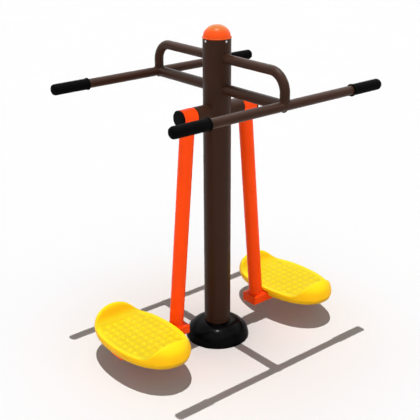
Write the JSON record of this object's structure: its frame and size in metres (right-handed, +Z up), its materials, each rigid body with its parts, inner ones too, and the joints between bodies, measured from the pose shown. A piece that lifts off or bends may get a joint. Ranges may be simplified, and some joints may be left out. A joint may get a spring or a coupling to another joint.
{
  "type": "outdoor air walker",
  "caption": "Column-mounted outdoor exerciser: hanging arms with oval standing boards swing sideways about a cross axle, below long handlebars with looped brace tubes.",
  "frame": {"origin": "the column's axis at the ground, in the middle of the underside", "axes": "+Z up along the column; X along the cross axle and the handlebars; Y across, the way the boards swing"},
  "size_m": [1.122, 0.82, 1.3733],
  "materials": {
    "brown_paint": "dark brown semi-gloss powder coat",
    "orange_paint": "orange semi-gloss powder coat",
    "orange_plastic": "glossy orange moulded plastic",
    "yellow_plastic": "yellow moulded plastic, satin, studded on the deck",
    "black_plastic": "black moulded plastic, satin",
    "black_rubber": "matt black rubber",
    "bare_steel": "ground bare steel",
    "zinc_steel": "zinc plated steel"
  },
  "bodies": {
    "stand": {"column": "brown_paint", "base_flange": "brown_paint", "base_cover": "black_plastic", "column_cap": "orange_plastic", "axle_housing": "brown_paint", "axle_shaft": "bare_steel", "anchor_bolt_1": "zinc_steel", "anchor_bolt_2": "zinc_steel", "anchor_bolt_3": "zinc_steel", "anchor_bolt_4": "zinc_steel", "cap_screw_1": "zinc_steel", "cap_screw_2": "zinc_steel", "cap_screw_3": "zinc_steel", "cap_screw_4": "zinc_steel", "front_handlebar": "brown_paint", "front_loop_tube": "brown_paint", "front_crossbar": "brown_paint", "front_right_grip": "black_rubber", "front_left_grip": "black_rubber", "back_handlebar": "brown_paint", "back_loop_tube": "brown_paint", "back_crossbar": "brown_paint", "back_left_grip": "black_rubber", "back_right_grip": "black_rubber", "right_housing_plug": "bare_steel", "right_seal_ring": "black_rubber", "right_bearing_spacer": "bare_steel", "right_shaft_nut": "zinc_steel", "left_housing_plug": "bare_steel", "left_seal_ring": "black_rubber", "left_bearing_spacer": "bare_steel", "left_shaft_nut": "zinc_steel"},
    "right_swing": {"right_hub": "orange_paint", "right_inner_bearing": "bare_steel", "right_outer_bearing": "bare_steel", "right_hub_cap": "black_plastic", "right_arm": "orange_paint", "right_foot_bar": "orange_paint", "right_inner_end_plate": "orange_paint", "right_outer_end_plate": "orange_paint", "right_board_plate": "orange_paint", "right_board": "yellow_plastic", "right_board_bolt_1": "zinc_steel", "right_board_bolt_2": "zinc_steel", "right_board_bolt_3": "zinc_steel", "right_board_bolt_4": "zinc_steel"},
    "left_swing": {"left_hub": "orange_paint", "left_inner_bearing": "bare_steel", "left_outer_bearing": "bare_steel", "left_hub_cap": "black_plastic", "left_arm": "orange_paint", "left_foot_bar": "orange_paint", "left_inner_end_plate": "orange_paint", "left_outer_end_plate": "orange_paint", "left_board_plate": "orange_paint", "left_board": "yellow_plastic", "left_board_bolt_1": "zinc_steel", "left_board_bolt_2": "zinc_steel", "left_board_bolt_3": "zinc_steel", "left_board_bolt_4": "zinc_steel"}
  },
  "joints": [
    {"name": "right_pivot", "type": "hinge", "parent": "stand", "child": "right_swing", "pos_m": [0.1555, 0, 1.027], "axis": [1, 0, 0], "range_deg": [-40, 40]},
    {"name": "left_pivot", "type": "hinge", "parent": "stand", "child": "left_swing", "pos_m": [-0.1555, 0, 1.027], "axis": [1, 0, 0], "range_deg": [-40, 40]}
  ]
}
